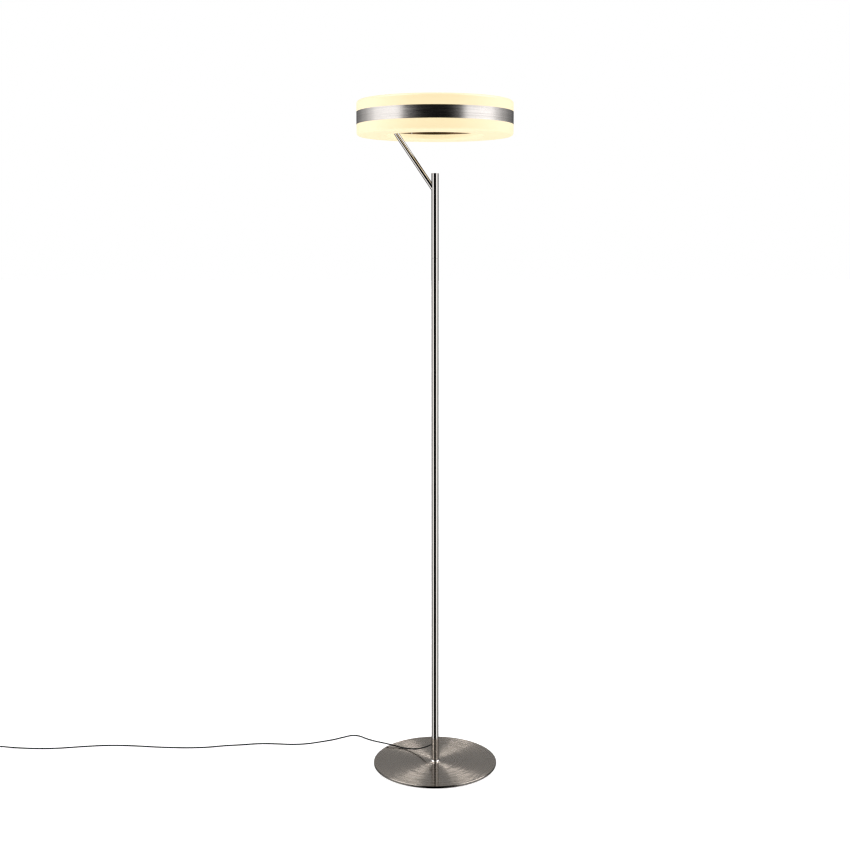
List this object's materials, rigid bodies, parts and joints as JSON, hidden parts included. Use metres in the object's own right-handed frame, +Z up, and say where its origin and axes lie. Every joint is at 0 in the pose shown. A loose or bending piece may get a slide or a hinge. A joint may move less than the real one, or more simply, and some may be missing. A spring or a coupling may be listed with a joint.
{
  "type": "torchiere floor lamp",
  "caption": "Slim floor lamp: a lit ring with a metal band, held by a slant arm on a thin pole over a round plate, with a thin cord, press switch and plug-in adapter.",
  "frame": {"origin": "centre of the underside of the pad under the base plate, on the floor, on the pole axis", "axes": "+Z up along the pole, -Y to the front, the slant arm leans from the pole towards -X, and the cord leaves the back of the pole and runs towards -X"},
  "size_m": [1.6185, 0.408, 1.784],
  "materials": {
    "spun_steel": "flat disc, finely turned in rings, satin, clear-coated",
    "polished_steel": "drawn tube, fine lengthwise polish",
    "band_steel": "rolled strip, fine brushing along its length",
    "frosted_acrylic": "frosted, lit from inside in warm white",
    "turned_steel": "turned, zinc plated",
    "zinc_steel": "bright zinc plated fasteners",
    "cast_aluminium": "rolled channel, as made",
    "board_white": "white solder mask",
    "board_green": "green solder mask",
    "led_phosphor": "yellow phosphor",
    "terminal_nylon": "natural nylon",
    "wire_sleeve": "thin insulated wire",
    "pad_rubber": "foamed sheet with a felt face",
    "black_rubber": "moulded, fine matt",
    "cord_black": "extruded round sheath, slightly glossy",
    "switch_plastic": "moulded with a fine spark-eroded grain",
    "button_plastic": "smooth moulded",
    "spring_steel": "drawn wire",
    "tie_vinyl": "soft vinyl",
    "adapter_plastic": "moulded with a fine spark-eroded grain",
    "blade_nickel": "nickel-plated brass strip",
    "component_plastic": "wound and moulded supply components"
  },
  "bodies": {
    "lamp": {"adapter_back": "adapter_plastic", "adapter_blades": "blade_nickel", "adapter_board": "board_green", "adapter_components": "component_plastic", "adapter_front": "adapter_plastic", "adapter_relief": "black_rubber", "arm_grommet": "black_rubber", "arm_pad": "polished_steel", "arm_screws": "zinc_steel", "arm_tube": "polished_steel", "base_pad": "pad_rubber", "base_plate": "spun_steel", "base_screw": "zinc_steel", "board_screws": "zinc_steel", "carrier": "cast_aluminium", "cord": "cord_black", "cord_coil": "cord_black", "cord_end": "cord_black", "cord_relief": "black_rubber", "cord_tail": "cord_black", "cord_tie": "tie_vinyl", "diffuser_screws": "zinc_steel", "feed_wires": "wire_sleeve", "foot_collar": "polished_steel", "foot_insert": "turned_steel", "inner_band": "band_steel", "inner_cable": "cord_black", "lower_diffuser": "frosted_acrylic", "lower_led_board": "board_white", "lower_leds": "led_phosphor", "lower_socket": "turned_steel", "lower_stud": "turned_steel", "outer_band": "band_steel", "pole_cap": "polished_steel", "pole_lower": "polished_steel", "pole_middle": "polished_steel", "pole_upper": "polished_steel", "switch_base": "switch_plastic", "switch_board": "board_green", "switch_bush_far": "black_rubber", "switch_bush_near": "black_rubber", "switch_cover": "switch_plastic", "switch_screws": "zinc_steel", "switch_spring": "spring_steel", "terminal_block": "terminal_nylon", "upper_diffuser": "frosted_acrylic", "upper_led_board": "board_white", "upper_leds": "led_phosphor", "upper_socket": "turned_steel", "upper_stud": "turned_steel"},
    "switch_button": {"switch_button": "button_plastic"}
  },
  "joints": [
    {"name": "button_press", "type": "slide", "parent": "lamp", "child": "switch_button", "axis": [0, 0, -1], "range_m": [0, 0.0025], "stiffness_N_per_m": 400, "springref_m": -0.002, "deforming": ["switch_spring"]}
  ]
}
